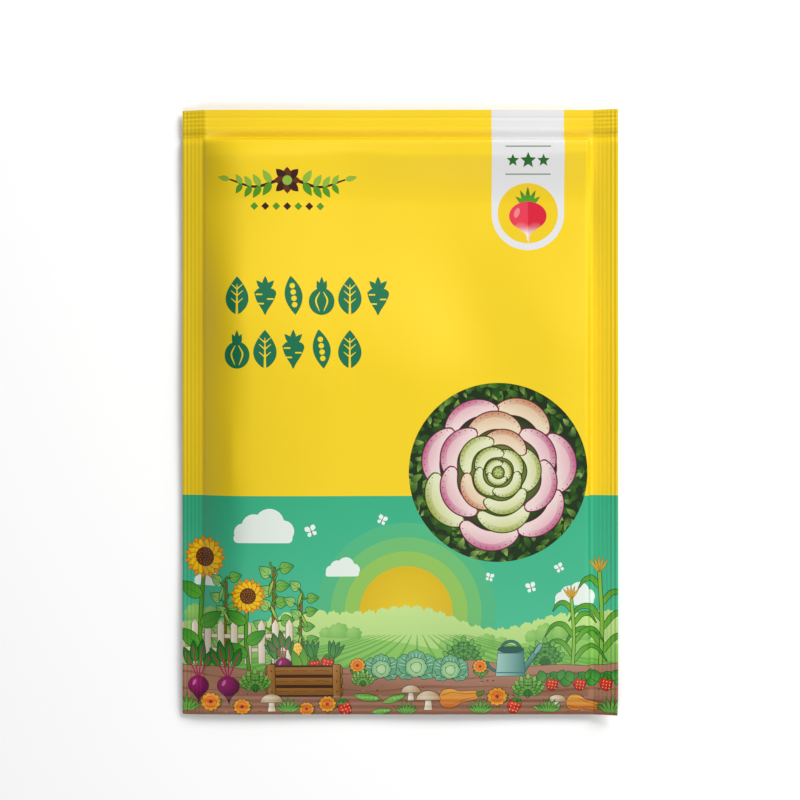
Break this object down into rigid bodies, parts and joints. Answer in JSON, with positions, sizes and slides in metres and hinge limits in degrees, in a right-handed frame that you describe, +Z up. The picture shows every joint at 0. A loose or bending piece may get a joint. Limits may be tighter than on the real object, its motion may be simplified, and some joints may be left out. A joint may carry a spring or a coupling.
{
  "type": "seed packet",
  "caption": "Flat pillow-shaped seed packet of printed plastic film, heat-sealed all round, lying on its back with loose celery seeds inside.",
  "frame": {"origin": "on the surface the packet lies on, under the middle of its outline", "axes": "+X across the packet to its right side, +Y towards its top edge, +Z up out of its printed front"},
  "size_m": [0.1, 0.139, 0.009],
  "materials": {
    "printed_front": "satin laminate film, printed yellow and teal",
    "printed_back": "satin laminate film, printed yellow and teal with a pale panel",
    "seed_husk": "dry ribbed seed husk, matt"
  },
  "bodies": {
    "root": {"front_film": "printed_front", "back_film": "printed_back", "seeds": "seed_husk"}
  },
  "joints": []
}
